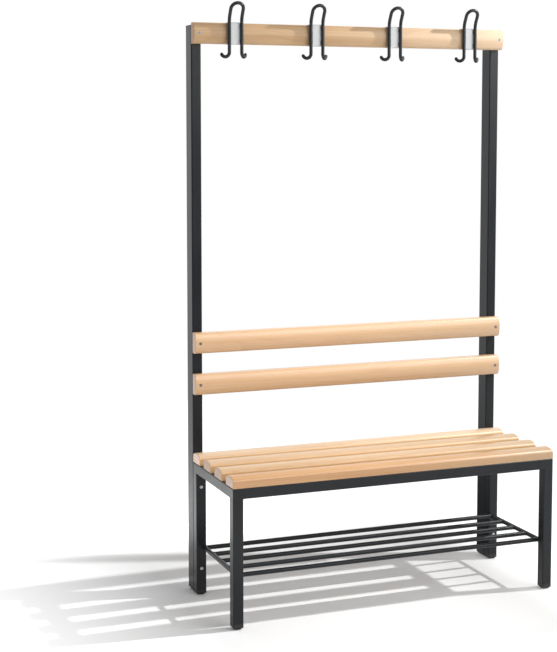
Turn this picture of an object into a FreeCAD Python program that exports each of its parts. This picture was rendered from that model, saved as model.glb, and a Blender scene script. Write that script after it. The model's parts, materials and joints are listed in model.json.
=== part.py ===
import FreeCAD, Part

import math
import os

Vector = FreeCAD.Vector

# Cloakroom bench: a welded tube frame with a slatted seat and a shoe rack, and two uprights behind it
# that carry a slatted backrest and a rail with double coat hooks.
# Millimetres. X runs to the right, Y to the back, Z up. The origin is on the floor, in the middle.

# Overall sizes
frame_width = 1000.0           # outside of the legs, left to right
frame_depth = 350.0            # front face of the front legs to back face of the rear legs
frame_height = 392.0           # floor to the top of the seat frame
hook_rail_top = 1662.0         # floor to the top edge of the hook rail

# Steel tubes
tube_width = 30.0              # square tube of the legs and rails, and the uprights' front width
upright_depth = 50.0           # uprights, front to back
tube_wall = 2.0
tube_corner_radius = 3.0
weld_rise = 2.0                # how far a leg's weld fills the rounding of the rail above it
upright_top_drop = 6.0         # top of the upright's cap below the top of the hook rail

# Plastic ends in the tubes
glide_plug_length = 22.0
plug_clearance = 0.2
cap_plug_nut_gap = 3.0         # cap's plug above the rivet nut of the hook rail
glide_height = 16.0            # part of a glide that shows under the tube
glide_taper = 7.0              # how far a glide draws in towards the floor on each side
glide_rounding = 2.5
cap_thickness = 3.0
cap_rounding = 1.2

# Beech slats
slat_width = 60.0
slat_thickness = 30.0
slat_crown = 7.0               # rise of the face in the middle of the slat
slat_edge_radius = 9.0
slat_end_ease = 1.2
seat_slat_count = 4
seat_inset = 1.0               # seat slats behind the frame's front face and before its back face
backrest_rise = 169.0          # top of the seat to the lower backrest slat
backrest_slat_gap = 61.0

# Shoe rack
shelf_height = 142.0           # floor to the bars' centre lines
shelf_bar_diameter = 13.0
shelf_bar_count = 5

# Double hooks
hook_count = 4
hook_end_margin = 122.0        # end of the rail to the first hook's centre line
hook_rod_diameter = 10.0
hook_arm_spacing = 37.5
hook_loop_rise = 59.5          # top of the rail to the highest point of the loop
hook_drop = 41.5               # bottom of the rail to the lowest point of the curls
hook_bend_start = 3.0          # top of the rail to the start of the loop's lean
hook_bend_radius = 40.0
hook_lean_angle = 27.5         # degrees, forward
hook_curl_radius = 13.0
hook_curl_sweep = 153.0        # degrees
hook_curl_heading = 45.0       # degrees, from straight outward towards the back
saddle_thickness = 1.5
saddle_clearance = 0.1
saddle_side_lap = 1.5          # saddle past the centre line of each hook arm
saddle_lip = 22.0              # depth of the saddle, front to back
saddle_bend_radius = 3.0

# Fasteners
leg_screw_diameter = 6.0
leg_screw_head_diameter = 10.5
leg_screw_head_height = 3.3
leg_screw_head_rounding = 2.6
leg_screw_socket = 4.0
leg_screw_low = 80.0           # floor to the lower screws
leg_screw_drop = 40.0          # bottom of the side rail to the upper screws
leg_nut_length = 15.0
leg_nut_wall = 1.5
slat_screw_diameter = 5.0
slat_screw_head_diameter = 9.4
slat_screw_socket = 3.0
slat_nut_length = 13.0
slat_nut_wall = 1.0
nut_collar_width = 1.3         # rivet nut's collar past its barrel
nut_collar_length = 3.0
seat_screw_diameter = 5.0
seat_screw_head_diameter = 10.0
seat_screw_head_height = 3.4
seat_screw_head_rounding = 1.7
seat_screw_bite = 21.0         # length of the screw in the slat
seat_screw_leg_margin = 3.0    # access hole to the leg beside it
stud_diameter = 6.0
washer_diameter = 18.0
washer_thickness = 1.6
cap_nut_width = 10.0           # across flats
cap_nut_hex_height = 5.0
cap_nut_dome_diameter = 9.5
cap_nut_dome_height = 5.0
cap_nut_dome_rounding = 4.2
cap_nut_crown = 1.0            # metal over the end of the stud
socket_depth = 2.2
hole_clearance = 0.3           # on the radius, where a screw passes freely
thread_clearance = 0.1         # on the radius, where a screw holds

# Values that follow from the sizes above
overall_depth = frame_depth + upright_depth
front_face = -overall_depth / 2
upright_face = front_face + frame_depth
rail_bottom = frame_height - tube_width
side_centre = (frame_width - tube_width) / 2
seat_top = frame_height + slat_thickness
lower_backrest_bottom = seat_top + backrest_rise
upper_backrest_bottom = lower_backrest_bottom + slat_width + backrest_slat_gap
hook_rail_bottom = hook_rail_top - slat_width
upright_top = hook_rail_top - upright_top_drop
slat_face = upright_face - slat_thickness
rear_leg_face = upright_face - tube_width
saddle_face = slat_face - saddle_thickness
hook_rod_radius = hook_rod_diameter / 2
hook_arm_line = saddle_face - hook_rod_radius
shelf_bar_radius = shelf_bar_diameter / 2
shelf_side_line = frame_width / 2 - tube_width + shelf_bar_radius
leg_screw_heights = (leg_screw_low, rail_bottom - leg_screw_drop)
slat_screw_heights = (
    lower_backrest_bottom + slat_width / 2,
    upper_backrest_bottom + slat_width / 2,
    hook_rail_bottom + slat_width / 2,
)
access_hole_radius = seat_screw_head_diameter / 2 + 2 * hole_clearance
leg_nut_radius = leg_screw_diameter / 2 + leg_nut_wall
slat_nut_radius = slat_screw_diameter / 2 + slat_nut_wall
cap_plug_bottom = slat_screw_heights[-1] + slat_nut_radius + nut_collar_width + cap_plug_nut_gap
sides = {"left": -1, "right": 1}
flat = 0.01                    # extent below which an edge counts as level or square
overcut = 1.0                  # how far a drill starts before and ends after the wall that it cuts
up = Vector(0, 0, 1)
backward = Vector(0, 1, 0)


def evenly_spaced(first, last, count):
    """Places from first to last, both included."""
    step = (last - first) / (count - 1)
    return [first + step * index for index in range(count)]


def aimed(shape, start, direction):
    """A shape drawn along +Z from the origin, moved to start and turned to direction."""
    placement = FreeCAD.Placement(start, FreeCAD.Rotation(up, direction))
    return shape.transformed(placement.toMatrix(), copy=True)


def rod(radius, start, end):
    """A round bar from start to end."""
    return Part.makeCylinder(radius, (end - start).Length, start, end - start)


def drill(radius, start, direction, depth):
    """A round cutter through a wall of the given depth, a little longer at both ends."""
    return rod(radius, start - direction * overcut, start + direction * (depth + overcut))


def turned(profile):
    """A solid of revolution about Z from (radius, height) points."""
    points = [Vector(radius, 0, height) for radius, height in profile]
    outline = Part.makePolygon(points + points[:1])
    return Part.Face(outline).revolve(Vector(0, 0, 0), up, 360)


def hexagon_bar(across_flats, length):
    """A hexagonal bar along +Z from the origin."""
    corner_radius = across_flats / math.sqrt(3)
    angles = [math.radians(60 * index) for index in range(7)]
    points = [Vector(corner_radius * math.cos(angle), corner_radius * math.sin(angle), 0) for angle in angles]
    return Part.Face(Part.makePolygon(points)).extrude(up * length)


def rounded_bar(width, depth, bottom, top, radius):
    """A rectangular bar along Z, centred on the Z axis, with rounded long edges."""
    bar = Part.makeBox(width, depth, top - bottom, Vector(-width / 2, -depth / 2, bottom))
    long_edges = [edge for edge in bar.Edges if edge.BoundBox.XLength < flat and edge.BoundBox.YLength < flat]
    return bar.makeFillet(radius, long_edges)


def tube_bore(width, depth, bottom, top):
    """The space inside a tube along Z."""
    radius = tube_corner_radius - tube_wall
    return rounded_bar(width - 2 * tube_wall, depth - 2 * tube_wall, bottom, top, radius)


def upright_tube(width, depth, bottom, top):
    """A rectangular tube along Z, open at both ends."""
    bar = rounded_bar(width, depth, bottom, top, tube_corner_radius)
    return bar.cut(tube_bore(width, depth, bottom, top))


# Seat frame


def mitre_prism(length):
    """The space that a rail fills between its two mitred ends. The long side faces -Y."""
    half = tube_width / 2
    corners = [
        Vector(-length / 2, -half, -half),
        Vector(length / 2, -half, -half),
        Vector(length / 2 - tube_width, half, -half),
        Vector(-length / 2 + tube_width, half, -half),
    ]
    return Part.Face(Part.makePolygon(corners + corners[:1])).extrude(up * tube_width)


def placed_rail(bar, length, turn, x, y):
    """A bar along Z made into a mitred rail of the seat frame, turned about Z and moved to its place."""
    along_x = FreeCAD.Placement(Vector(0, 0, 0), FreeCAD.Rotation(Vector(0, 1, 0), 90))
    rail = bar.transformed(along_x.toMatrix(), copy=True).common(mitre_prism(length))
    middle = Vector(x, y, rail_bottom + tube_width / 2)
    placement = FreeCAD.Placement(middle, FreeCAD.Rotation(up, turn))
    rail = rail.transformed(placement.toMatrix(), copy=True)
    outline = rounded_bar(frame_width, frame_depth, rail_bottom, frame_height, tube_corner_radius)
    outline.translate(Vector(0, front_face + frame_depth / 2, 0))
    return rail.common(outline)


def seat_rails(hollow):
    """The four rails of the seat frame by name, as tubes or as solid bars."""
    front_line = front_face + tube_width / 2
    rear_line = upright_face - tube_width / 2
    middle_line = front_face + frame_depth / 2
    places = {
        "front_rail": (frame_width, 0, 0, front_line),
        "rear_rail": (frame_width, 180, 0, rear_line),
        "left_side_rail": (frame_depth, -90, -side_centre, middle_line),
        "right_side_rail": (frame_depth, 90, side_centre, middle_line),
    }
    rails = {}
    for name, (length, turn, x, y) in places.items():
        if hollow:
            bar = upright_tube(tube_width, tube_width, -length / 2, length / 2)
        else:
            bar = rounded_bar(tube_width, tube_width, -length / 2, length / 2, tube_corner_radius)
        rails[name] = placed_rail(bar, length, turn, x, y)
    return rails


def make_legs():
    """Four legs that reach up to the rails, the rear ones drilled for the screws to the uprights."""
    envelope = list(seat_rails(hollow=False).values())
    lines = {"front": front_face + tube_width / 2, "rear": upright_face - tube_width / 2}
    legs = {}
    for end, line in lines.items():
        for side, sign in sides.items():
            leg = upright_tube(tube_width, tube_width, glide_height, rail_bottom + weld_rise)
            leg.translate(Vector(sign * side_centre, line, 0))
            leg = leg.cut(envelope)
            if end == "rear":
                leg = leg.cut([leg_screw_hole(sign, height) for height in leg_screw_heights])
            legs[f"{end}_{side}_leg"] = leg
    return legs


def leg_screw_hole(sign, height):
    """The clear hole through a rear leg for a screw to its upright."""
    radius = leg_screw_diameter / 2 + hole_clearance
    start = Vector(sign * side_centre, rear_leg_face, height)
    return drill(radius, start, backward, tube_width)


def make_rails():
    """The seat frame's rails, the side rails drilled for the seat screws."""
    rails = seat_rails(hollow=True)
    for side, sign in sides.items():
        holes = []
        for line in seat_screw_lines():
            low = Vector(sign * side_centre, line, rail_bottom)
            high = Vector(sign * side_centre, line, frame_height - tube_wall)
            holes.append(drill(access_hole_radius, low, up, tube_wall))
            holes.append(drill(seat_screw_diameter / 2 + hole_clearance, high, up, tube_wall))
        name = f"{side}_side_rail"
        rails[name] = rails[name].cut(holes)
    return rails


# Uprights


def make_uprights():
    """Two uprights with holes in the front wall for the rivet nuts."""
    uprights = {}
    for side, sign in sides.items():
        upright = upright_tube(tube_width, upright_depth, glide_height, upright_top - cap_thickness)
        upright.translate(Vector(sign * side_centre, upright_face + upright_depth / 2, 0))
        holes = [nut_hole(sign, height, leg_nut_radius) for height in leg_screw_heights]
        holes += [nut_hole(sign, height, slat_nut_radius) for height in slat_screw_heights]
        uprights[f"{side}_upright"] = upright.cut(holes)
    return uprights


def nut_hole(sign, height, barrel_radius):
    """The hole in an upright's front wall for a rivet nut."""
    start = Vector(sign * side_centre, upright_face, height)
    return drill(barrel_radius + thread_clearance, start, backward, tube_wall)


# Plastic ends


def runs_left_to_right(edge):
    """True for an edge along X."""
    return edge.BoundBox.XLength > flat


def runs_front_to_back(edge):
    """True for an edge along Y."""
    return edge.BoundBox.YLength > flat


def drawn_in_block(width, depth, runs_along):
    """A block on the floor whose two floor edges along one axis are cut back and eased."""
    block = Part.makeBox(width, depth, glide_height, Vector(-width / 2, -depth / 2, 0))
    floor_edges = [edge for edge in block.Edges if runs_along(edge) and edge.BoundBox.ZMax < flat]
    block = block.makeChamfer(glide_taper, floor_edges)
    bends = [edge for edge in block.Edges if runs_along(edge) and edge.BoundBox.ZMax < glide_height - flat]
    return block.makeFillet(glide_rounding, bends)


def glide(width, depth):
    """A glide for the foot of a tube: a plug inside the tube and a foot that draws in towards the floor."""
    foot = rounded_bar(width, depth, 0, glide_height, tube_corner_radius)
    foot = foot.common(drawn_in_block(width, depth, runs_left_to_right))
    foot = foot.common(drawn_in_block(width, depth, runs_front_to_back))
    return foot.fuse(tube_plug(width, depth, glide_height, glide_height + glide_plug_length))


def end_cap(width, depth):
    """A cap for the top of an upright: a flat plate on the tube and a plug inside it."""
    plate_bottom = upright_top - cap_thickness
    plate = rounded_bar(width, depth, plate_bottom, upright_top, tube_corner_radius)
    top_edges = [edge for edge in plate.Edges if edge.BoundBox.ZMin > plate_bottom + cap_thickness / 2]
    plate = plate.makeFillet(cap_rounding, top_edges)
    return plate.fuse(tube_plug(width, depth, cap_plug_bottom, plate_bottom))


def tube_plug(width, depth, bottom, top):
    """The block of a glide or cap that sits inside the tube."""
    inset = 2 * (tube_wall + plug_clearance)
    radius = tube_corner_radius - tube_wall
    return rounded_bar(width - inset, depth - inset, bottom, top, radius)


def make_plastic_ends():
    """Glides under the legs and uprights, and caps on the uprights."""
    upright_line = upright_face + upright_depth / 2
    ends = {}
    for side, sign in sides.items():
        leg_lines = {"front": front_face + tube_width / 2, "rear": upright_face - tube_width / 2}
        for end, line in leg_lines.items():
            foot = glide(tube_width, tube_width)
            foot.translate(Vector(sign * side_centre, line, 0))
            ends[f"{end}_{side}_leg_glide"] = foot
        foot = glide(tube_width, upright_depth)
        foot.translate(Vector(sign * side_centre, upright_line, 0))
        ends[f"{side}_upright_glide"] = foot
        cap = end_cap(tube_width, upright_depth)
        cap.translate(Vector(sign * side_centre, upright_line, 0))
        ends[f"{side}_upright_cap"] = cap
    return ends


# Beech slats


def slat():
    """A slat along X on the XY plane: flat below, crowned on top, with rounded long edges and eased ends."""
    half = slat_width / 2
    shoulder = slat_thickness - slat_crown
    left_shoulder = Vector(0, -half, shoulder)
    right_shoulder = Vector(0, half, shoulder)
    crown = Part.Arc(left_shoulder, Vector(0, 0, slat_thickness), right_shoulder).toShape()
    base = Part.makePolygon([right_shoulder, Vector(0, half, 0), Vector(0, -half, 0), left_shoulder])
    section = Part.Face(Part.Wire([crown] + base.Edges))
    bar = section.extrude(Vector(frame_width, 0, 0))
    bar.translate(Vector(-frame_width / 2, 0, 0))
    shoulders = [edge for edge in bar.Edges if is_shoulder(edge, shoulder)]
    bar = bar.makeFillet(slat_edge_radius, shoulders)
    ends = [edge for edge in bar.Edges if edge.BoundBox.XLength < slat_end_ease / 2]
    return bar.makeChamfer(slat_end_ease, ends)


def is_shoulder(edge, shoulder):
    """Whether an edge of the slat is one of the two long edges between side and crown."""
    box = edge.BoundBox
    return box.XLength > frame_width / 2 and box.ZMin > shoulder / 2


def seat_slat_lines():
    """Centre lines of the seat slats, front to back."""
    first = front_face + seat_inset + slat_width / 2
    last = upright_face - seat_inset - slat_width / 2
    return evenly_spaced(first, last, seat_slat_count)


def seat_screw_lines():
    """Where the seat screws stand, front to back. The outer ones keep clear of the legs."""
    leg_room = tube_width + seat_screw_leg_margin + access_hole_radius
    lines = seat_slat_lines()
    lines[0] = max(lines[0], front_face + leg_room)
    lines[-1] = min(lines[-1], upright_face - leg_room)
    return lines


def make_seat_slats():
    """Seat slats with pilot holes from below."""
    slats = {}
    for index, (line, screw_line) in enumerate(zip(seat_slat_lines(), seat_screw_lines())):
        board = slat()
        board.translate(Vector(0, line, frame_height))
        holes = []
        for sign in sides.values():
            start = Vector(sign * side_centre, screw_line, frame_height)
            holes.append(drill(seat_screw_diameter / 2 + thread_clearance, start, up, seat_screw_bite))
        slats[f"seat_slat_{index + 1}"] = board.cut(holes)
    return slats


def standing_slat(bottom, stud_lines):
    """A slat on the uprights' front faces, crown to the front, with its end screw holes and stud holes."""
    ends = [Vector(sign * side_centre, 0, slat_thickness) for sign in sides.values()]
    studs = [Vector(x, 0, slat_thickness) for x in stud_lines]
    holes = [aimed(slat_screw_hole(), end, -up) for end in ends]
    holes += [drill(stud_diameter / 2 + hole_clearance, stud, -up, slat_thickness) for stud in studs]
    board = slat().cut(holes)
    return aimed(board, Vector(0, upright_face, bottom + slat_width / 2), -backward)


def slat_screw_hole():
    """A cutter along +Z for a 90 degree countersink and the clear hole behind it, longer at both ends."""
    head_radius = slat_screw_head_diameter / 2 + thread_clearance
    hole_radius = slat_screw_diameter / 2 + hole_clearance
    end = slat_thickness + overcut
    return turned([
        (0, -overcut),
        (head_radius + overcut, -overcut),
        (hole_radius, head_radius - hole_radius),
        (hole_radius, end),
        (0, end),
    ])


def make_standing_slats():
    """Two backrest slats and the hook rail, which has a hole for each hook's stud."""
    return {
        "lower_backrest_slat": standing_slat(lower_backrest_bottom, []),
        "upper_backrest_slat": standing_slat(upper_backrest_bottom, []),
        "hook_rail": standing_slat(hook_rail_bottom, hook_lines()),
    }


# Shoe rack


def shelf_side_bar(sign):
    """A bar front to back, between a front leg and a rear leg, flush with the legs' inner faces."""
    x = sign * shelf_side_line
    start = Vector(x, front_face + tube_width, shelf_height)
    return rod(shelf_bar_radius, start, Vector(x, rear_leg_face, shelf_height))


def make_shelf():
    """Side bars, and long bars with ends cut to sit on the side bars."""
    side_bars = {f"shelf_{side}_bar": shelf_side_bar(sign) for side, sign in sides.items()}
    first = front_face + tube_width + shelf_bar_radius
    last = rear_leg_face - shelf_bar_radius
    bars = dict(side_bars)
    for index, line in enumerate(evenly_spaced(first, last, shelf_bar_count)):
        start = Vector(-shelf_side_line, line, shelf_height)
        bar = rod(shelf_bar_radius, start, Vector(shelf_side_line, line, shelf_height))
        bars[f"shelf_long_bar_{index + 1}"] = bar.cut(list(side_bars.values()))
    return bars


# Double hooks


def hook_lines():
    """Centre lines of the hooks along the rail."""
    last = frame_width / 2 - hook_end_margin
    return evenly_spaced(-last, last, hook_count)


def hook_half(sign):
    """Edges of one half of a hook's centre line, from the curl's tip up to the start of the loop's arch."""
    arm = sign * hook_arm_spacing / 2
    heading = math.radians(hook_curl_heading)
    outward = Vector(sign * math.cos(heading), math.sin(heading), 0)
    curl_height = hook_rail_bottom - hook_drop + hook_rod_radius + hook_curl_radius
    curl_centre = Vector(arm, hook_arm_line, curl_height) + outward * hook_curl_radius

    def on_curl(angle):
        turn = math.radians(angle)
        return curl_centre - (outward * math.cos(turn) + up * math.sin(turn)) * hook_curl_radius

    lean = math.radians(hook_lean_angle)
    bend_start = Vector(arm, hook_arm_line, hook_rail_top + hook_bend_start)

    def on_bend(angle):
        forward = hook_bend_radius * (1 - math.cos(angle))
        return bend_start + Vector(0, -forward, hook_bend_radius * math.sin(angle))

    arch_end = arch_centre(on_bend(lean), lean) + Vector(arm, 0, 0)
    return [
        Part.Arc(on_curl(hook_curl_sweep), on_curl(hook_curl_sweep / 2), on_curl(0)).toShape(),
        Part.LineSegment(on_curl(0), bend_start).toShape(),
        Part.Arc(bend_start, on_bend(lean / 2), on_bend(lean)).toShape(),
        Part.LineSegment(on_bend(lean), arch_end).toShape(),
    ]


def arch_centre(bend_end, lean):
    """Centre of the loop's arch, in the leaning plane that starts where the bend ends."""
    loop_height = hook_rail_top + hook_loop_rise - hook_rod_radius
    rise = loop_height - hook_arm_spacing / 2 * math.cos(lean) - bend_end.z
    return Vector(0, bend_end.y - rise * math.tan(lean), bend_end.z + rise)


def hook_rod():
    """A bent rod: two arms joined by a leaning loop on top, each with an outward curl below."""
    left = hook_half(-1)
    right = hook_half(1)
    arch_start = left[-1].Vertexes[-1].Point
    arch_stop = right[-1].Vertexes[-1].Point
    lean = math.radians(hook_lean_angle)
    leaning_up = Vector(0, -math.sin(lean), math.cos(lean))
    arch_top = (arch_start + arch_stop) * 0.5 + leaning_up * (hook_arm_spacing / 2)
    arch = Part.Arc(arch_start, arch_top, arch_stop).toShape()
    path = Part.Wire(left + [arch] + right[::-1])
    tips = [half[0].Vertexes[0].Point for half in (left, right)]
    tip_direction = left[0].tangentAt(left[0].FirstParameter)
    section = Part.Wire(Part.makeCircle(hook_rod_radius, tips[0], tip_direction))
    bent = path.makePipeShell([section], True, False)
    return bent.fuse([Part.makeSphere(hook_rod_radius, tip) for tip in tips])


def hook_saddle():
    """A bent plate that wraps the rail's front, with a lip over its top and one under its bottom."""
    half = hook_arm_spacing / 2 + saddle_side_lap
    bottom = hook_rail_bottom - saddle_clearance
    top = hook_rail_top + saddle_clearance
    outside = Part.makeBox(
        2 * half,
        saddle_lip,
        top - bottom + 2 * saddle_thickness,
        Vector(-half, saddle_face, bottom - saddle_thickness),
    )
    inside = Part.makeBox(2 * half, saddle_lip, top - bottom, Vector(-half, slat_face, bottom))
    outer_radius = saddle_bend_radius
    inner_radius = saddle_bend_radius - saddle_thickness
    outside = outside.makeFillet(outer_radius, front_edges(outside, saddle_face))
    inside = inside.makeFillet(inner_radius, front_edges(inside, slat_face))
    return outside.cut(inside)


def front_edges(block, face):
    """The two long edges of a block that lie on its front face."""
    return [edge for edge in block.Edges if edge.BoundBox.YMax < face + flat and edge.BoundBox.ZLength < flat]


def make_hooks():
    """Rods and saddles, one pair to each hook."""
    hooks = {}
    for index, x in enumerate(hook_lines()):
        bent_rod = hook_rod()
        bent_rod.translate(Vector(x, 0, 0))
        saddle = hook_saddle()
        saddle.translate(Vector(x, 0, 0))
        hooks[f"hook_rod_{index + 1}"] = bent_rod
        hooks[f"hook_saddle_{index + 1}"] = saddle
    return hooks


# Fasteners


def leg_screw():
    """A button-head screw along +Z, its head below the origin."""
    length = tube_width + leg_nut_length
    head_radius = leg_screw_head_diameter / 2
    shank = Part.makeCylinder(leg_screw_diameter / 2, length)
    head = Part.makeCylinder(head_radius, leg_screw_head_height, Vector(0, 0, -leg_screw_head_height))
    rim = [edge for edge in head.Edges if edge.BoundBox.ZMax < -leg_screw_head_height / 2]
    head = head.makeFillet(leg_screw_head_rounding, rim)
    socket = hexagon_bar(leg_screw_socket, socket_depth)
    socket.translate(Vector(0, 0, -leg_screw_head_height))
    return head.fuse(shank).cut(socket)


def slat_screw():
    """A countersunk screw along +Z, its head flush with the origin."""
    length = slat_thickness + slat_nut_length
    head_radius = slat_screw_head_diameter / 2
    shank_radius = slat_screw_diameter / 2
    neck = head_radius - shank_radius
    screw = turned([(0, 0), (head_radius, 0), (shank_radius, neck), (shank_radius, length), (0, length)])
    return screw.cut(hexagon_bar(slat_screw_socket, socket_depth))


def rivet_nut(screw_radius, barrel_radius, length):
    """A rivet nut along +Z: flush with the wall in front, with a collar upset behind the wall."""
    barrel = Part.makeCylinder(barrel_radius, length)
    collar = Part.makeCylinder(barrel_radius + nut_collar_width, nut_collar_length, Vector(0, 0, tube_wall))
    return barrel.fuse(collar).cut(Part.makeCylinder(screw_radius + thread_clearance, length))


def seat_screw():
    """A pan-head screw along +Z, its head below the origin."""
    head_radius = seat_screw_head_diameter / 2
    head = Part.makeCylinder(head_radius, seat_screw_head_height, Vector(0, 0, -seat_screw_head_height))
    rim = [edge for edge in head.Edges if edge.BoundBox.ZMax < -seat_screw_head_height / 2]
    head = head.makeFillet(seat_screw_head_rounding, rim)
    return head.fuse(Part.makeCylinder(seat_screw_diameter / 2, tube_wall + seat_screw_bite))


def cap_nut():
    """A domed nut along +Z with a blind hole."""
    dome_top = cap_nut_hex_height + cap_nut_dome_height
    dome = Part.makeCylinder(cap_nut_dome_diameter / 2, dome_top)
    rim = [edge for edge in dome.Edges if edge.BoundBox.ZMin > cap_nut_hex_height]
    dome = dome.makeFillet(cap_nut_dome_rounding, rim)
    hole = Part.makeCylinder(stud_diameter / 2 + thread_clearance, dome_top - cap_nut_crown)
    return hexagon_bar(cap_nut_width, cap_nut_hex_height).fuse(dome).cut(hole)


def stud():
    """A stud along +Z, from the saddle's back to just under the cap nut's crown."""
    nut_room = cap_nut_hex_height + cap_nut_dome_height - cap_nut_crown - thread_clearance
    return Part.makeCylinder(stud_diameter / 2, slat_thickness + washer_thickness + nut_room)


def washer():
    """A flat washer along +Z."""
    disc = Part.makeCylinder(washer_diameter / 2, washer_thickness)
    return disc.cut(Part.makeCylinder(stud_diameter / 2 + hole_clearance, washer_thickness))


def make_fasteners():
    """Every kind of fastener as one group of separate solids."""
    leg_places = [(x, z) for x in (-side_centre, side_centre) for z in leg_screw_heights]
    slat_places = [(x, z) for x in (-side_centre, side_centre) for z in slat_screw_heights]
    wall_under = frame_height - tube_wall
    seat_places = [Vector(x, y, wall_under) for x in (-side_centre, side_centre) for y in seat_screw_lines()]
    hook_height = hook_rail_bottom + slat_width / 2
    leg_nut = rivet_nut(leg_screw_diameter / 2, leg_nut_radius, leg_nut_length)
    slat_nut = rivet_nut(slat_screw_diameter / 2, slat_nut_radius, slat_nut_length)
    washer_back = upright_face + washer_thickness

    def along_y(shape, y, places):
        return Part.makeCompound([aimed(shape, Vector(x, y, z), backward) for x, z in places])

    hook_places = [(x, hook_height) for x in hook_lines()]
    return {
        "leg_screws": along_y(leg_screw(), rear_leg_face, leg_places),
        "leg_rivet_nuts": along_y(leg_nut, upright_face, leg_places),
        "slat_screws": along_y(slat_screw(), slat_face, slat_places),
        "slat_rivet_nuts": along_y(slat_nut, upright_face, slat_places),
        "hook_studs": along_y(stud(), slat_face, hook_places),
        "hook_washers": along_y(washer(), upright_face, hook_places),
        "hook_cap_nuts": along_y(cap_nut(), washer_back, hook_places),
        "seat_screws": Part.makeCompound([aimed(seat_screw(), start, up) for start in seat_places]),
    }


def main():
    """Build every piece and write one file for each."""
    os.makedirs("parts", exist_ok=True)
    pieces = {}
    for make in (
        make_legs,
        make_rails,
        make_uprights,
        make_plastic_ends,
        make_seat_slats,
        make_standing_slats,
        make_shelf,
        make_hooks,
        make_fasteners,
    ):
        pieces.update(make())
    for name, shape in pieces.items():
        shape.exportStep(f"parts/{name}.step")
        print(name, "solids", len(shape.Solids), "volume", round(shape.Volume, 1), "valid", shape.isValid())


main()
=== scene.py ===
"""Cloakroom bench: finishes, weld beads, floor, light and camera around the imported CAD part.

All lengths are in metres, in the CAD frame.
"""
import json
import math

import bpy
import bmesh
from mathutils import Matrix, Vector


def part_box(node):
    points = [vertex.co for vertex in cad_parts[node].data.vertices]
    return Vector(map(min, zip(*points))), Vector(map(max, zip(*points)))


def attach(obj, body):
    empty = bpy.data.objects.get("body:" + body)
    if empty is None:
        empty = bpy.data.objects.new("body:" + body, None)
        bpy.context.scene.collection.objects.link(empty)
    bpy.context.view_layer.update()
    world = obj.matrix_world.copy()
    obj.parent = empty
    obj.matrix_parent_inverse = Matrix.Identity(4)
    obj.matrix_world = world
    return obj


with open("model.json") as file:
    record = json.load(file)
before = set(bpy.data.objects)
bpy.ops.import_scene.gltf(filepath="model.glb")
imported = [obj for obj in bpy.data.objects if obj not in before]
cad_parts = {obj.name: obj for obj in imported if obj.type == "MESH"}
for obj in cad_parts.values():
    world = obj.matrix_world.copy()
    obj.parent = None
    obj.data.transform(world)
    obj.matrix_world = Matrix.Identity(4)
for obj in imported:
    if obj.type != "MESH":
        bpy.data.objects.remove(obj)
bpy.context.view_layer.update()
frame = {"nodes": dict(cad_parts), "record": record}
nodes = frame["nodes"]
scene = bpy.context.scene

MM = 0.001

# Camera, as seen in the photograph: the image is 557 x 652 and the sensor lies along its long side
IMAGE_HEIGHT = 652
FOCAL_PIXELS = 1442.3
SENSOR = 36.0
CAMERA_PLACE = (-1.7727, -3.8027, 1.3677)
CAMERA_YAW = 21.292            # degrees, to the right of straight at the bench
CAMERA_PITCH = -4.818          # degrees
CAMERA_SHIFT = -0.12

# Lamps: the key throws the slats' shadows, the wash lights the floor that the legs' left faces reflect
SPOT_RADIUS = 0.05
KEY_PLACE = (2.41, -0.50, 2.855)
KEY_AIM = (-1.25, 0.0, 0.0)
KEY_SPREAD = 48.0              # degrees, edge to edge
KEY_POWER = 640.0
WASH_PLACE = (-0.85, 1.15, 2.5)
WASH_AIM = (-0.85, 1.15, 0.0)
WASH_SPREAD = 27.0             # degrees, edge to edge
WASH_POWER = 300.0
SOFTBOX_PLACE = (1.64, -2.52, 2.15)
SOFTBOX_AIM = (0.0, 0.1, 0.7)
SOFTBOX_SIZE = (3.0, 1.3)
SOFTBOX_POWER = 62.0

# Studio light from all round, dim in front of the bench and brighter behind it
STUDIO_LEVEL = 0.66
LOBE_FLATNESS = 2.2            # how much wider than high the dim and the bright part of the studio are
DIM_TURN = -20.0               # degrees right of straight in front of the bench
DIM_CORE = 30.0                # degrees to each side
DIM_EDGE = 62.0
DIM_DROP = 0.14                # how far the middle of the dim part lies below the horizon
DIM_LEVEL = 0.12
GLOW_TURN = 180.0              # degrees: straight behind the bench
GLOW_CORE = 35.0               # degrees to each side
GLOW_EDGE = 75.0
GLOW_LEVEL = 1.1

# Floor, and the area of it that the bench shades: painted shade darkens the floor there, and round it the
# floor is paler and glows, a painted light
FLOOR_SIZE = 6.0
# painted light: how brightly the floor glows round the bench's shade
PAINTED_FLOOR_GLOW = 0.45
# painted shade: the floor's darker tones where the bench's shadow falls
PAINTED_SHADE_TONES = ((0.67, 0.67, 0.67, 1.0), (0.69, 0.69, 0.69, 1.0))
PALE_FLOOR = (0.92, 0.92, 0.92, 1.0)
SHADE_MIDDLE = (-0.325, -0.02, 0.0)
SHADE_REACH = (0.675, 0.48, 0.0)
SHADE_FADE = 0.32              # width of the change to the pale floor around the shade
SHADE_PALING = (-1.15, -0.55)  # along X, the shade's left part, which pales away from the bench
SHADE_PALEST = 0.85            # share of the pale floor at the shade's left end
FLAG_CORNERS = ((-0.30, 0.22), (2.6, 0.22), (2.6, 2.6), (-0.30, 2.6))
FLAG_HEIGHT = 4.0 * MM

NOISE_SPAN = (0.3, 0.7)        # where most of a noise's levels lie

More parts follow.
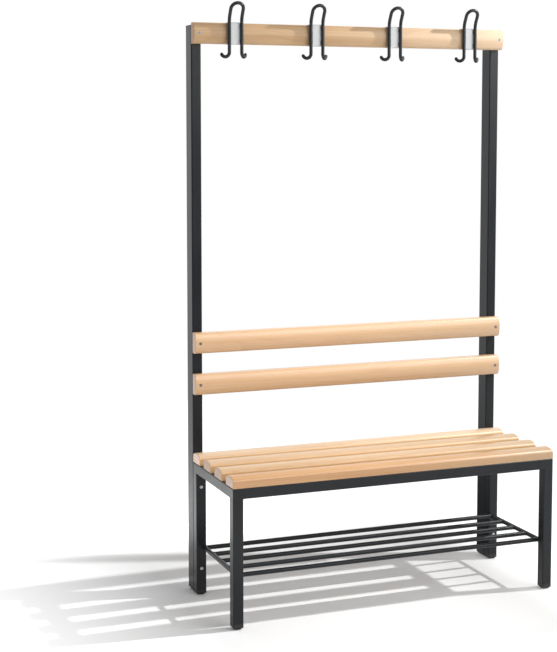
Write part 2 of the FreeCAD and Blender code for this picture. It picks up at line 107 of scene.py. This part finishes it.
# Wood
RING_WIDTH = 4.2 * MM
WIDE_RING = 9.0 * MM           # on the rear seat slat
RING_STOPS = ((0.0, 0.0), (0.55, 0.25), (0.90, 1.0), (1.0, 0.0))
RING_WAVER = 16.0 * MM
RING_SHARE = 0.40              # shares of the brown tone
FIBRE_SHARE = (-0.10, 0.44)
BAND_SPAN = (0.25, 0.75)
BAND_SHARE = (-0.30, 0.58)
FLECK_SHARE = 0.45
FLECK_LEVEL = 0.62             # of the brown tone
FLECK_SIZE = (0.26, 0.10)      # of a fleck's cell, from its edge to its dark core
END_FACING = (0.7, 0.95)       # how squarely a face looks along X before it shows end grain
END_RING_SHARE = 0.55
SPECKLE_SPAN = (0.35, 0.65)
END_SPECKLE_SHARE = 0.35
WOOD_ROUGHNESS = (0.34, 0.46)
END_ROUGHNESS = 0.2            # added on end grain
FIBRE_RELIEF = 0.7
FLECK_RELIEF = -0.5
RING_RELIEF = 0.3
GRAIN_DEPTH = 0.06 * MM
GRAIN_STRENGTH = 0.6
WOOD_IOR = 1.4
LACQUER_ROUGHNESS = 0.30
# painted light: slat faces that look along Y turn amber, standing in for warm light bounced between the
# slats
PAINTED_SIDE_TONE = (0.58, 0.32, 0.11, 1.0)
PAINTED_SIDE_FACING = (0.65, 0.98)     # how squarely a face looks along Y before it is a side

# End grain and its rings, the second pair for the rear seat slat
PLAIN_END = ((0.50, 0.335, 0.23, 1.0), (0.30, 0.175, 0.10, 1.0))
STRIPED_END = ((0.92, 0.70, 0.50, 1.0), (0.36, 0.05, 0.0, 1.0))

# Tones painted towards a slat's right end, where the key lamp lights it more: a painted highlight on the
# hook rail, painted shade on the seat and backrest slats
# painted highlight: the hook rail's paler right end
PAINTED_END_HIGHLIGHT = (0.66, 0.53, 0.40, 1.0)
# painted shade: the seat and backrest slats' darker right ends
PAINTED_END_SHADE = (0.36, 0.25, 0.15, 1.0)
PAINTED_END_RANGE = (-0.10, 0.50)     # along X

# Coats, plastic and zinc
COAT_EDGE = 1.6 * MM           # reach of the thinner coat from an edge
COAT_EDGE_TURN = (0.995, 0.90)  # how far the rounded normal leaves the flat one there
COAT_EDGE_SHARE = 0.5
COAT_EDGE_LEVEL = 1.5          # of the thin tone
COAT_CLOUD_SHARE = (0.0, 0.5)
COAT_CLOUD_GLOSS = 0.03
COAT_PEEL_GLOSS = 0.05
COAT_PEEL_DEPTH = 0.05 * MM
COAT_IOR = 1.32
PLASTIC_BLACK = (0.012, 0.012, 0.013, 1.0)
PLASTIC_SCUFF = (0.06, 0.06, 0.06, 1.0)
SCUFF_HEIGHT = 12.0 * MM
SCUFF_LEVELS = (0.5, 0.75)
SCUFF_SHARE = 0.5
PLASTIC_ROUGHNESS = (0.48, 0.62)
PLASTIC_GRAIN_DEPTH = 0.04 * MM
PLASTIC_IOR = 1.48
ZINC_GLOSS_SPREAD = 0.08
ZINC_SCRATCH_DEPTH = 0.01 * MM
CLOTH_TONES = ((0.010, 0.010, 0.010, 1.0), (0.020, 0.020, 0.020, 1.0))
CLOTH_DEPTH = 0.2 * MM

# Weld beads
BEAD_RADIUS = 1.9 * MM
BEAD_THIN = 0.6 * MM           # radius on top of a bar, where the two bars run into each other
CORNER_BEAD = 2.3 * MM
HOOK_BEAD = 1.5 * MM
HOOK_BEAD_LENGTH = 13.0 * MM
HOOK_BEAD_INSET = 4.0 * MM     # from the saddle's upper and lower edge
HOOK_ARM_SPACING = 37.5 * MM
HOOK_ROD_RADIUS = 5.0 * MM
TUBE_ROUNDING = 3.0 * MM
BEAD_SIDES = 10
BEAD_STEP = 0.8 * MM
RIPPLE_LENGTH = 2.4 * MM
RIPPLE_SHARE = 0.15            # of the bead's radius
END_THINNING = 0.6             # share of the radius that a straight bead loses at its ends
END_SHARPNESS = 6              # power with which it thins
HOOK_BEAD_SEAT = 0.6           # share of the bead's radius between its middle and the saddle
HOOK_GROOVE = 0.7              # share of the rod's radius between its middle and the bead


# Node trees


class Tree:
    """A node tree, with short calls to add nodes and link them."""

    def __init__(self, tree):
        self.tree = tree

    def node(self, kind, inputs=None, **settings):
        """A node with settings. An input's value is a socket to link, or a constant."""
        made = self.tree.nodes.new("ShaderNode" + kind)
        for key, value in settings.items():
            setattr(made, key, value)
        for key, value in (inputs or {}).items():
            self.feed(made.inputs[key], value)
        return made

    def feed(self, socket, value):
        """Links a socket's source, or sets its constant."""
        if isinstance(value, bpy.types.NodeSocket):
            self.tree.links.new(value, socket)
        else:
            socket.default_value = value

    def math(self, operation, a, b=0.0):
        return self.node("Math", {0: a, 1: b}, operation=operation).outputs[0]

    def vector(self, operation, a, b=(0.0, 0.0, 0.0)):
        return self.node("VectorMath", {0: a, 1: b}, operation=operation).outputs["Vector"]

    def dot(self, a, b):
        return self.node("VectorMath", {0: a, 1: b}, operation="DOT_PRODUCT").outputs["Value"]

    def length(self, a):
        return self.node("VectorMath", {0: a}, operation="LENGTH").outputs["Value"]

    def ranged(self, value, low, high, start=0.0, end=1.0, curve="LINEAR"):
        """A value moved from one range to another, held at its ends."""
        ends = {"From Min": low, "From Max": high, "To Min": start, "To Max": end}
        made = self.node("MapRange", ends, interpolation_type=curve)
        self.feed(made.inputs["Value"], value)
        return made.outputs["Result"]


class Shader(Tree):
    """A material's node tree."""

    def __init__(self, name):
        self.material = bpy.data.materials.new(name)
        self.material.use_nodes = True
        super().__init__(self.material.node_tree)
        self.surface = self.tree.nodes["Principled BSDF"]

    def place(self):
        """The point on the part, in metres."""
        return self.node("TexCoord").outputs["Object"]

    def facing(self):
        """The surface's normal in the CAD frame, as three sockets."""
        normal = self.node("TexCoord").outputs["Normal"]
        return self.node("SeparateXYZ", {0: normal}).outputs

    def noise(self, place, scale, detail=2.0, roughness=0.5):
        """Noise from 0 to 1 with its own number of waves to the metre along each axis."""
        stretched = self.vector("MULTIPLY", place, scale)
        inputs = {"Vector": stretched, "Scale": 1.0, "Detail": detail, "Roughness": roughness}
        return self.node("TexNoise", inputs).outputs[0]

    def blend(self, share, a, b):
        """Two colours mixed by a share."""
        made = self.node("Mix", data_type="RGBA")
        self.feed(made.inputs[0], share)
        self.feed(made.inputs[6], a)
        self.feed(made.inputs[7], b)
        return made.outputs[2]

    def ramp(self, value, stops):
        """A grey ramp through (position, level) stops."""
        made = self.node("ValToRGB", {0: value})
        elements = made.color_ramp.elements
        while len(elements) < len(stops):
            elements.new(0.5)
        for element, (position, level) in zip(elements, stops):
            element.position = position
            element.color = (level, level, level, 1.0)
        return made.outputs[0]

    def bump(self, height, depth, strength=1.0):
        """A bump of the given depth in metres."""
        inputs = {"Height": height, "Distance": depth, "Strength": strength}
        return self.node("Bump", inputs).outputs[0]

    def finish(self, **inputs):
        """Sets the surface's sockets by their names, with underscores for spaces."""
        for key, value in inputs.items():
            self.feed(self.surface.inputs[key.replace("_", " ")], value)
        return self.material


# Finishes


def beech(name, seed, pith, drift, pale, brown, lacquer, painted_end_tone=PAINTED_END_HIGHLIGHT, turned=0.0,
          ring_width=RING_WIDTH, end_tones=PLAIN_END, painted_sides=0.0):
    """Lacquered beech along X, which may get a tone painted towards its right end: a painted highlight on
    the hook rail, painted shade on the seat and backrest slats.

    The growth rings run round a pith line that drifts across the slat.
    """
    wood = Shader(name)
    place = wood.place()
    own = wood.vector("ADD", place, seed)
    x, y, z = wood.node("SeparateXYZ", {0: place}).outputs
    waver = wood.ranged(wood.noise(own, (1.6, 9.0, 9.0), 3.0), 0.0, 1.0, -RING_WAVER, RING_WAVER)
    pith_y = wood.math("ADD", wood.math("MULTIPLY", x, drift[0]), pith[0])
    pith_z = wood.math("ADD", wood.math("MULTIPLY", x, drift[1]), pith[1])
    across = wood.math("ADD", wood.math("SUBTRACT", y, pith_y), waver)
    rise = wood.math("SUBTRACT", z, pith_z)
    offset = wood.node("CombineXYZ", {"Y": across, "Z": rise}).outputs[0]
    phase = wood.math("FRACT", wood.math("DIVIDE", wood.length(offset), ring_width))
    ring = wood.ramp(phase, RING_STOPS)
    fibre = wood.noise(own, (5.0, 620.0, 620.0), 4.0, 0.65)
    band = wood.noise(own, (1.1, 34.0, 34.0), 2.0)
    fleck_place = wood.vector("MULTIPLY", own, (260.0, 1300.0, 1300.0))
    fleck_cells = wood.node("TexVoronoi", {"Vector": fleck_place, "Scale": 1.0})
    fleck = wood.ranged(fleck_cells.outputs["Distance"], *FLECK_SIZE)
    share = wood.math("MULTIPLY", ring, RING_SHARE)
    share = wood.math("ADD", share, wood.ranged(fibre, *NOISE_SPAN, *FIBRE_SHARE))
    share = wood.math("ADD", share, wood.ranged(band, *BAND_SPAN, *BAND_SHARE))
    colour = wood.blend(wood.math("MINIMUM", wood.math("MAXIMUM", share, 0.0), 1.0), pale, brown)
    dark = tuple(FLECK_LEVEL * level for level in brown[:3]) + (1.0,)
    colour = wood.blend(wood.math("MULTIPLY", fleck, FLECK_SHARE), colour, dark)
    # painted light and shade: the tone towards the right end, where the key lamp lights the slats more
    colour = wood.blend(wood.ranged(x, *PAINTED_END_RANGE, 0.0, turned), colour, painted_end_tone)
    facing = wood.facing()
    # painted light: amber on the faces along Y, for light bounced between the slats
    side = wood.ranged(wood.math("ABSOLUTE", facing[1]), *PAINTED_SIDE_FACING, 0.0, painted_sides)
    colour = wood.blend(side, colour, PAINTED_SIDE_TONE)
    end = wood.ranged(wood.math("ABSOLUTE", facing[0]), *END_FACING)
    speckle = wood.noise(own, (60.0, 1500.0, 1500.0), 2.0)
    end_share = wood.math("MULTIPLY", ring, END_RING_SHARE)
    end_share = wood.math("ADD", end_share, wood.ranged(speckle, *SPECKLE_SPAN, 0.0, END_SPECKLE_SHARE))
    end_colour = wood.blend(end_share, *end_tones)
    colour = wood.blend(end, colour, end_colour)
    rough = wood.ranged(fibre, *NOISE_SPAN, *WOOD_ROUGHNESS)
    rough = wood.math("ADD", rough, wood.math("MULTIPLY", end, END_ROUGHNESS))
    relief = wood.math("MULTIPLY", fibre, FIBRE_RELIEF)
    relief = wood.math("ADD", relief, wood.math("MULTIPLY", fleck, FLECK_RELIEF))
    relief = wood.math("ADD", relief, wood.math("MULTIPLY", ring, RING_RELIEF))
    return wood.finish(
        Base_Color=colour,
        Roughness=rough,
        Normal=wood.bump(relief, GRAIN_DEPTH, GRAIN_STRENGTH),
        IOR=WOOD_IOR,
        Coat_Weight=lacquer,
        Coat_Roughness=LACQUER_ROUGHNESS,
    )


def coated_steel(name, base, thin, gloss, grain):
    """Powder-coated steel: a fine orange peel, faint cloudiness, and a thinner coat along the edges."""
    coat = Shader(name)
    place = coat.place()
    peel = coat.noise(place, (grain,) * 3, 3.0, 0.6)
    cloud = coat.noise(place, (14.0, 14.0, 5.0), 3.0)
    rounded = coat.node("Bevel", {"Radius": COAT_EDGE}, samples=6).outputs[0]
    flat = coat.node("NewGeometry").outputs["Normal"]
    edge = coat.ranged(coat.dot(rounded, flat), *COAT_EDGE_TURN)
    colour = coat.blend(coat.ranged(cloud, *NOISE_SPAN, *COAT_CLOUD_SHARE), (*base, 1.0), (*thin, 1.0))
    thinnest = tuple(COAT_EDGE_LEVEL * level for level in thin)
    colour = coat.blend(coat.math("MULTIPLY", edge, COAT_EDGE_SHARE), colour, (*thinnest, 1.0))
    rough = coat.ranged(peel, *NOISE_SPAN, gloss - COAT_PEEL_GLOSS, gloss + COAT_PEEL_GLOSS)
    rough = coat.math("ADD", rough, coat.ranged(cloud, *NOISE_SPAN, -COAT_CLOUD_GLOSS, COAT_CLOUD_GLOSS))
    return coat.finish(
        Base_Color=colour,
        Roughness=rough,
        Normal=coat.bump(peel, COAT_PEEL_DEPTH, 0.5),
        IOR=COAT_IOR,
    )


def moulded_plastic(name):
    """Black plastic with a fine spark-eroded grain and paler scuffs near the floor."""
    plastic = Shader(name)
    place = plastic.place()
    grain = plastic.noise(place, (1400.0,) * 3, 2.0)
    scuff = plastic.noise(place, (120.0, 120.0, 420.0), 4.0, 0.7)
    z = plastic.node("SeparateXYZ", {0: place}).outputs["Z"]
    low = plastic.ranged(z, 0.0, SCUFF_HEIGHT, 1.0, 0.0)
    worn = plastic.math("MULTIPLY", plastic.ranged(scuff, *SCUFF_LEVELS), low)
    colour = plastic.blend(plastic.math("MULTIPLY", worn, SCUFF_SHARE), PLASTIC_BLACK, PLASTIC_SCUFF)
    return plastic.finish(
        Base_Color=colour,
        Roughness=plastic.ranged(grain, *NOISE_SPAN, *PLASTIC_ROUGHNESS),
        Normal=plastic.bump(grain, PLASTIC_GRAIN_DEPTH, 0.6),
        IOR=PLASTIC_IOR,
    )


def zinc_plate(name, cool, warm, gloss):
    """Zinc on turned and pressed steel: fine scratches and faint warm and cool patches."""
    plate = Shader(name)
    place = plate.place()
    patch = plate.noise(place, (160.0,) * 3, 2.0)
    scratch = plate.noise(place, (300.0, 2600.0, 900.0), 3.0, 0.7)
    colour = plate.blend(plate.ranged(patch, *NOISE_SPAN), (*cool, 1.0), (*warm, 1.0))
    return plate.finish(
        Base_Color=colour,
        Metallic=1.0,
        Roughness=plate.ranged(scratch, *NOISE_SPAN, gloss - ZINC_GLOSS_SPREAD, gloss + ZINC_GLOSS_SPREAD),
        Normal=plate.bump(scratch, ZINC_SCRATCH_DEPTH, 0.5),
    )


# seat_tone and pale_tone are paler than the amber and show on the slats' tops, where they stand partly for
# the tops' sheen: painted sheen
seat_tone = ((0.59, 0.42, 0.265, 1.0), (0.43, 0.27, 0.145, 1.0))
amber_tone = ((0.53, 0.305, 0.145, 1.0), (0.39, 0.20, 0.08, 1.0))
pale_tone = ((0.62, 0.455, 0.30, 1.0), (0.49, 0.325, 0.19, 1.0))
warm_tone = ((0.60, 0.38, 0.205, 1.0), (0.53, 0.318, 0.162, 1.0))
grey_tone = ((0.495, 0.325, 0.18, 1.0), (0.40, 0.245, 0.124, 1.0))
# The seat and backrest slats get painted shade towards their right ends, the hook rail a painted
# highlight.
by_node = {
    "seat_slat_1": beech(
        "beech_seat_1", (3.1, 0.7, 1.9), (-0.29, 0.30), (0.05, 0.02), *amber_tone,
        lacquer=0.6, painted_end_tone=PAINTED_END_SHADE, turned=0.7,
    ),
    # seat slats 2 to 4 get the painted bounce light on their faces along Y
    "seat_slat_2": beech(
        "beech_seat_2", (7.4, 2.2, 0.3), (0.03, 0.28), (-0.03, 0.03), *seat_tone,
        lacquer=0.45, painted_end_tone=PAINTED_END_SHADE, turned=0.7, painted_sides=0.6,
    ),
    "seat_slat_3": beech(
        "beech_seat_3", (1.2, 5.6, 4.4), (-0.10, 0.33), (0.04, -0.03), *seat_tone,
        lacquer=0.45, painted_end_tone=PAINTED_END_SHADE, turned=0.55, painted_sides=0.6,
    ),
    "seat_slat_4": beech(
        "beech_seat_4", (9.3, 1.4, 6.1), (0.16, 0.26), (0.06, 0.02), *pale_tone,
        lacquer=0.75, ring_width=WIDE_RING, end_tones=STRIPED_END, painted_sides=0.6,
    ),
    "lower_backrest_slat": beech(
        "beech_back_1", (4.7, 8.2, 2.6), (0.24, 0.60), (0.02, 0.05), *warm_tone,
        lacquer=0.9, painted_end_tone=PAINTED_END_SHADE, turned=0.4,
    ),
    "upper_backrest_slat": beech(
        "beech_back_2", (6.5, 3.3, 7.7), (0.28, 0.78), (-0.03, 0.03), *warm_tone,
        lacquer=0.9, painted_end_tone=PAINTED_END_SHADE, turned=0.5,
    ),
    "hook_rail": beech(
        "beech_hook_rail", (2.8, 9.1, 5.2), (0.26, 1.66), (0.02, -0.05), *grey_tone,
        lacquer=0.05, turned=0.45,
    ),
    "slat_screws": zinc_plate("dull_zinc", (0.20, 0.205, 0.22), (0.24, 0.235, 0.225), 0.40),
}
powder_coat = coated_steel(
    "anthracite_powder_coat", (0.009, 0.0105, 0.0125), (0.015, 0.017, 0.0195), gloss=0.33, grain=900.0,
)
hook_coat = coated_steel(
    "anthracite_hook_coat", (0.020, 0.022, 0.026), (0.030, 0.033, 0.038), gloss=0.30, grain=600.0,
)
saddle_coat = coated_steel(
    "light_grey_coat", (0.64, 0.65, 0.65), (0.72, 0.73, 0.73), gloss=0.36, grain=800.0,
)
black_plastic = moulded_plastic("black_plastic")
zinc = zinc_plate("bright_zinc", (0.48, 0.50, 0.51), (0.53, 0.53, 0.51), 0.30)
by_slot = {
    "powder_coat": powder_coat,
    "hook_coat": hook_coat,
    "saddle_plate": saddle_coat,
    "black_plastic": black_plastic,
    "zinc": zinc,
}
for subpart in frame["record"]["subparts"]:
    name = subpart["node"]
    finish = by_node.get(name) or by_slot[subpart["material_slot"]]
    for slot in nodes[name].material_slots:
        slot.material = finish


# Weld beads, left proud under the coat where bars, legs and hooks were joined


def add_bead(mesh, path, radii, closed):
    """Adds a rippled bead along a path, with its own radius at each point."""
    count = len(path)
    length = sum((path[index + 1] - path[index]).length for index in range(count - 1))
    ripples = round(length / RIPPLE_LENGTH)
    side = None
    rings = []
    for index, (point, radius) in enumerate(zip(path, radii)):
        before = path[index - 1] if closed else path[max(index - 1, 0)]
        after = path[(index + 1) % count] if closed else path[min(index + 1, count - 1)]
        along = (after - before).normalized()
        side = along.orthogonal() if side is None else side - along * side.dot(along)
        side.normalize()
        other = along.cross(side)
        swell = radius * (1.0 + RIPPLE_SHARE * math.sin(2.0 * math.pi * ripples * index / count))
        ring = []
        for step in range(BEAD_SIDES):
            turn = 2.0 * math.pi * step / BEAD_SIDES
            ring.append(mesh.verts.new(point + swell * (math.cos(turn) * side + math.sin(turn) * other)))
        rings.append(ring)
    pairs = list(zip(rings, rings[1:]))
    if closed:
        pairs.append((rings[-1], rings[0]))
    else:
        mesh.faces.new(reversed(rings[0]))
        mesh.faces.new(rings[-1])
    for first, second in pairs:
        for step in range(BEAD_SIDES):
            following = (step + 1) % BEAD_SIDES
            mesh.faces.new((first[step], first[following], second[following], second[step]))


def straight_run(start, end, radius):
    """A straight bead from point to point, thinner towards its ends."""
    count = round((end - start).length / BEAD_STEP)
    shares = [step / count for step in range(count + 1)]
    path = [start.lerp(end, share) for share in shares]
    radii = [radius * (1.0 - END_THINNING * abs(2.0 * share - 1.0) ** END_SHARPNESS) for share in shares]
    return path, radii, False


def turns_round(radius):
    """The angles of a bead's points round a bar."""
    count = round(2.0 * math.pi * radius / BEAD_STEP)
    return [2.0 * math.pi * step / count for step in range(count)]


def end_run(bar_radius, x, y, z):
    """A bead round the end of a bar that meets a flat face at y."""
    path = []
    for turn in turns_round(bar_radius):
        path.append(Vector((x + bar_radius * math.sin(turn), y, z + bar_radius * math.cos(turn))))
    return path, [BEAD_RADIUS] * len(path), True


def saddle_run(bar_radius, sign, x, y, z):
    """A bead round the end of a long bar, where it is shaped to the side bar on the line x."""
    path = []
    radii = []
    for turn in turns_round(bar_radius):
        aside = bar_radius * math.sin(turn)
        path.append(Vector((x - sign * abs(aside), y + aside, z + bar_radius * math.cos(turn))))
        radii.append(BEAD_THIN + (BEAD_RADIUS - BEAD_THIN) * abs(math.sin(turn)))
    return path, radii, True


def weld_piece(name, finish, runs):
    """One mesh of several beads, fixed to the bench."""
    mesh = bmesh.new()
    for path, radii, closed in runs:
        add_bead(mesh, path, radii, closed)
    data = bpy.data.meshes.new(name)
    mesh.to_mesh(data)
    mesh.free()
    data.polygons.foreach_set("use_smooth", [True] * len(data.polygons))
    data.materials.append(finish)
    piece = bpy.data.objects.new(name, data)
    scene.collection.objects.link(piece)
    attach(piece, "root")


shelf_runs = []
corner_runs = []
rail_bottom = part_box("front_rail")[0].z
long_bars = [name for name in nodes if name.startswith("shelf_long_bar")]
for side, sign in (("left", -1.0), ("right", 1.0)):
    low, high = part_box(f"shelf_{side}_bar")
    bar_x = (low.x + high.x) / 2
    bar_z = (low.z + high.z) / 2
    bar_radius = (high.z - low.z) / 2
    for y in (low.y, high.y):
        shelf_runs.append(end_run(bar_radius, bar_x, y, bar_z))
    for bar in sorted(long_bars):
        bar_low, bar_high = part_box(bar)
        shelf_runs.append(saddle_run(bar_radius, sign, bar_x, (bar_low.y + bar_high.y) / 2, bar_z))
    for end in ("front", "rear"):
        low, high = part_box(f"{end}_{side}_leg")
        inner_x = low.x if side == "right" else high.x
        inner_y = high.y if end == "front" else low.y
        for start, stop in (
            ((inner_x, low.y + TUBE_ROUNDING), (inner_x, high.y - TUBE_ROUNDING)),
            ((low.x + TUBE_ROUNDING, inner_y), (high.x - TUBE_ROUNDING, inner_y)),
        ):
            first = Vector((*start, rail_bottom))
            last = Vector((*stop, rail_bottom))
            corner_runs.append(straight_run(first, last, CORNER_BEAD))

hook_runs = []
for name in sorted(nodes):
    if not name.startswith("hook_saddle"):
        continue
    low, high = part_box(name)
    middle = (low.x + high.x) / 2
    groove = HOOK_ARM_SPACING / 2 - HOOK_GROOVE * HOOK_ROD_RADIUS
    front = low.y - HOOK_BEAD_SEAT * HOOK_BEAD
    along = Vector((0.0, 0.0, HOOK_BEAD_LENGTH))
    for x in (middle - groove, middle + groove):
        top = Vector((x, front, high.z - HOOK_BEAD_INSET))
        bottom = Vector((x, front, low.z + HOOK_BEAD_INSET))
        hook_runs.append(straight_run(top, top - along, HOOK_BEAD))
        hook_runs.append(straight_run(bottom, bottom + along, HOOK_BEAD))

weld_piece("shelf_weld_beads", powder_coat, shelf_runs)
weld_piece("frame_weld_beads", powder_coat, corner_runs)
weld_piece("hook_weld_beads", hook_coat, hook_runs)


# Floor, light and camera


def floor_finish():
    """White studio floor with a faint unevenness, with painted shade where the bench's shadow falls, and
    paler and glowing, a painted light, round it.
    """
    ground = Shader("studio_floor")
    place = ground.place()
    unevenness = ground.noise(place, (3.0, 3.0, 3.0), 2.0)
    painted_shade = ground.blend(unevenness, *PAINTED_SHADE_TONES)
    from_middle = ground.vector("ABSOLUTE", ground.vector("SUBTRACT", place, SHADE_MIDDLE))
    past_reach = ground.vector("SUBTRACT", from_middle, SHADE_REACH)
    past_edge = ground.length(ground.vector("MAXIMUM", past_reach, (0.0, 0.0, 0.0)))
    around = ground.ranged(past_edge, 0.0, SHADE_FADE, curve="SMOOTHSTEP")
    x = ground.node("SeparateXYZ", {0: place}).outputs["X"]
    leftward = ground.ranged(x, *SHADE_PALING, SHADE_PALEST, 0.0)
    # share of the paler, glowing floor: the painted shade fades round its edge and towards its left end
    away = ground.math("MAXIMUM", around, leftward)
    return ground.finish(
        Base_Color=ground.blend(away, painted_shade, PALE_FLOOR),
        Roughness=0.7,
        Specular_IOR_Level=0.1,
        Emission_Color=(1.0, 1.0, 1.0, 1.0),
        Emission_Strength=ground.math("MULTIPLY", away, PAINTED_FLOOR_GLOW),
    )


def black_cloth():
    """Black studio cloth with a coarse weave."""
    cloth = Shader("black_cloth")
    weave = cloth.noise(cloth.place(), (700.0, 700.0, 700.0), 2.0)
    colour = cloth.blend(weave, *CLOTH_TONES)
    return cloth.finish(Base_Color=colour, Roughness=0.9, Normal=cloth.bump(weave, CLOTH_DEPTH))


def ground_sheet(name, corners, height, finish):
    """A flat sheet of the studio, at a height over the ground."""
    data = bpy.data.meshes.new(name)
    data.from_pydata([(x, y, height) for x, y in corners], [], [range(len(corners))])
    data.materials.append(finish)
    sheet = bpy.data.objects.new(name, data)
    scene.collection.objects.link(sheet)
    return sheet


half_floor = FLOOR_SIZE / 2
floor_corners = [(x * half_floor, y * half_floor) for x, y in ((-1, -1), (1, -1), (1, 1), (-1, 1))]
ground_sheet("floor", floor_corners, 0.0, floor_finish())

# A black flag behind the bench keeps the legs on the right dark. Only reflections show it.
flag = ground_sheet("black_flag", FLAG_CORNERS, FLAG_HEIGHT, black_cloth())
flag.visible_camera = False
flag.visible_diffuse = False
flag.visible_shadow = False

scene.view_settings.view_transform = "Standard"
world = bpy.data.worlds.new("studio")
scene.world = world
world.use_nodes = True
sky = Tree(world.node_tree)
toward = sky.node("TexCoord").outputs["Generated"]


def horizon_lobe(turn, core, edge, drop=0.0):
    """1 in a flat cone of directions, turned from straight in front, that fades to 0 at its edge."""
    lifted = sky.vector("ADD", toward, (0.0, 0.0, drop))
    flat = sky.vector("NORMALIZE", sky.vector("MULTIPLY", lifted, (1.0, 1.0, LOBE_FLATNESS)))
    aim = (math.sin(math.radians(turn)), -math.cos(math.radians(turn)), 0.0)
    edge_level = math.cos(math.radians(edge))
    core_level = math.cos(math.radians(core))
    return sky.ranged(sky.dot(flat, aim), edge_level, core_level, curve="SMOOTHSTEP")


dim_lobe = horizon_lobe(DIM_TURN, DIM_CORE, DIM_EDGE, DIM_DROP)
dimmed = sky.math("MULTIPLY", dim_lobe, DIM_LEVEL - STUDIO_LEVEL)
glow_lobe = horizon_lobe(GLOW_TURN, GLOW_CORE, GLOW_EDGE)
brightened = sky.math("MULTIPLY", glow_lobe, GLOW_LEVEL - STUDIO_LEVEL)
lit = sky.math("ADD", sky.math("ADD", dimmed, brightened), STUDIO_LEVEL)
to_camera = sky.node("LightPath").outputs["Is Camera Ray"]
white_to_camera = sky.ranged(to_camera, 0.0, 1.0, lit, 1.0)
background = world.node_tree.nodes["Background"]
background.inputs["Color"].default_value = (1.0, 1.0, 1.0, 1.0)
sky.feed(background.inputs["Strength"], white_to_camera)


def add_lamp(name, data, place, aim):
    """A lamp at a place that looks at another place and isn't seen by the camera."""
    lamp = bpy.data.objects.new(name, data)
    lamp.location = place
    lamp.rotation_mode = "QUATERNION"
    lamp.rotation_quaternion = (Vector(aim) - Vector(place)).to_track_quat("-Z", "Y")
    lamp.visible_camera = False
    scene.collection.objects.link(lamp)


def add_spot(name, place, aim, spread, power):
    """A small round lamp with a cone that is soft from its middle to its edge."""
    spot = bpy.data.lights.new(name, "SPOT")
    spot.energy = power
    spot.shadow_soft_size = SPOT_RADIUS
    spot.spot_size = math.radians(spread)
    spot.spot_blend = 1.0
    add_lamp(name, spot, place, aim)


add_spot("key", KEY_PLACE, KEY_AIM, KEY_SPREAD, KEY_POWER)
add_spot("floor_wash", WASH_PLACE, WASH_AIM, WASH_SPREAD, WASH_POWER)
softbox = bpy.data.lights.new("softbox", "AREA")
softbox.shape = "RECTANGLE"
softbox.size, softbox.size_y = SOFTBOX_SIZE
softbox.energy = SOFTBOX_POWER
add_lamp("softbox", softbox, SOFTBOX_PLACE, SOFTBOX_AIM)

camera_data = bpy.data.cameras.new("camera")
camera_data.sensor_width = SENSOR
camera_data.lens = FOCAL_PIXELS * SENSOR / IMAGE_HEIGHT
camera_data.shift_y = CAMERA_SHIFT
camera = bpy.data.objects.new("camera", camera_data)
camera.location = CAMERA_PLACE
camera.rotation_euler = (math.radians(90.0 + CAMERA_PITCH), 0.0, math.radians(-CAMERA_YAW))
scene.collection.objects.link(camera)
scene.camera = camera
